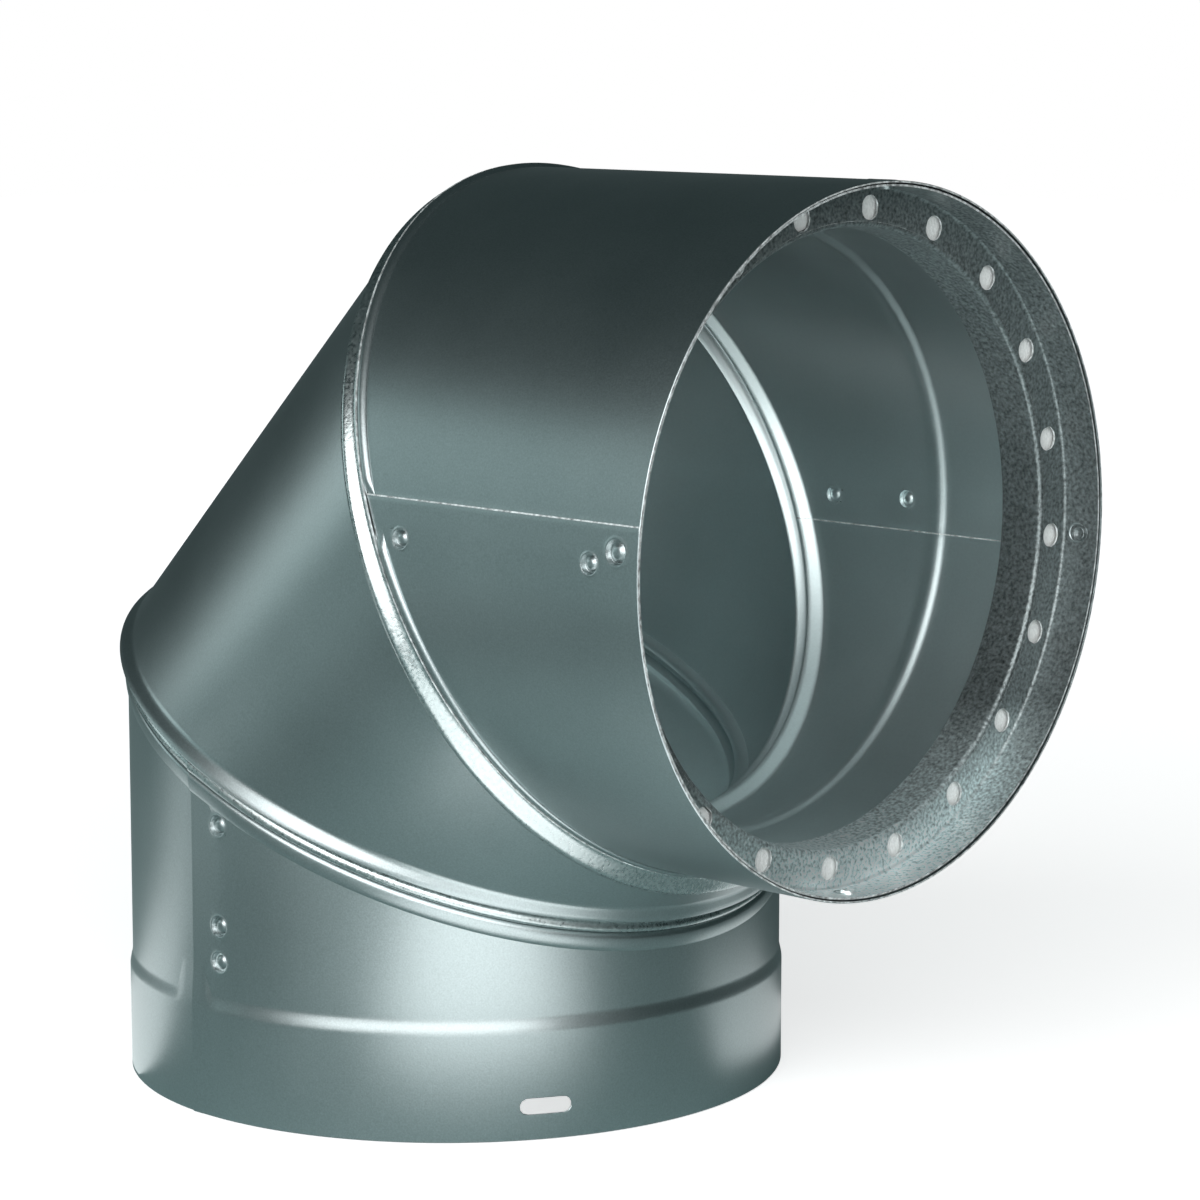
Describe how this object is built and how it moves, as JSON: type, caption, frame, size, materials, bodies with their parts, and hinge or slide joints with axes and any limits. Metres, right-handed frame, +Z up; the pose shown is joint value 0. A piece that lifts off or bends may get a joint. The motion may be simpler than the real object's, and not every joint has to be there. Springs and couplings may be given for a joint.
{
  "type": "double wall flue elbow",
  "caption": "Right-angle double wall flue elbow of mitred round gores with beaded seams, an inner liner and a recessed ring of vent holes at the mouth.",
  "frame": {"origin": "centre of the lower collar's open rim, in the plane that the elbow stands on", "axes": "+Z up along the lower collar's axis; +X along the upper collar's axis, out of the mouth; the bend lies in the XZ plane"},
  "size_m": [0.2373, 0.1781, 0.2413],
  "materials": {
    "shell": "satin galvanised sheet",
    "liner": "satin sheet",
    "ring": "galvanised spangle"
  },
  "bodies": {
    "root": {"shell_lower": "shell", "shell_middle": "shell", "shell_upper": "shell", "liner_lower": "liner", "liner_middle": "liner", "liner_upper": "liner", "vent_ring": "ring", "spacer_ring": "ring"}
  },
  "joints": []
}
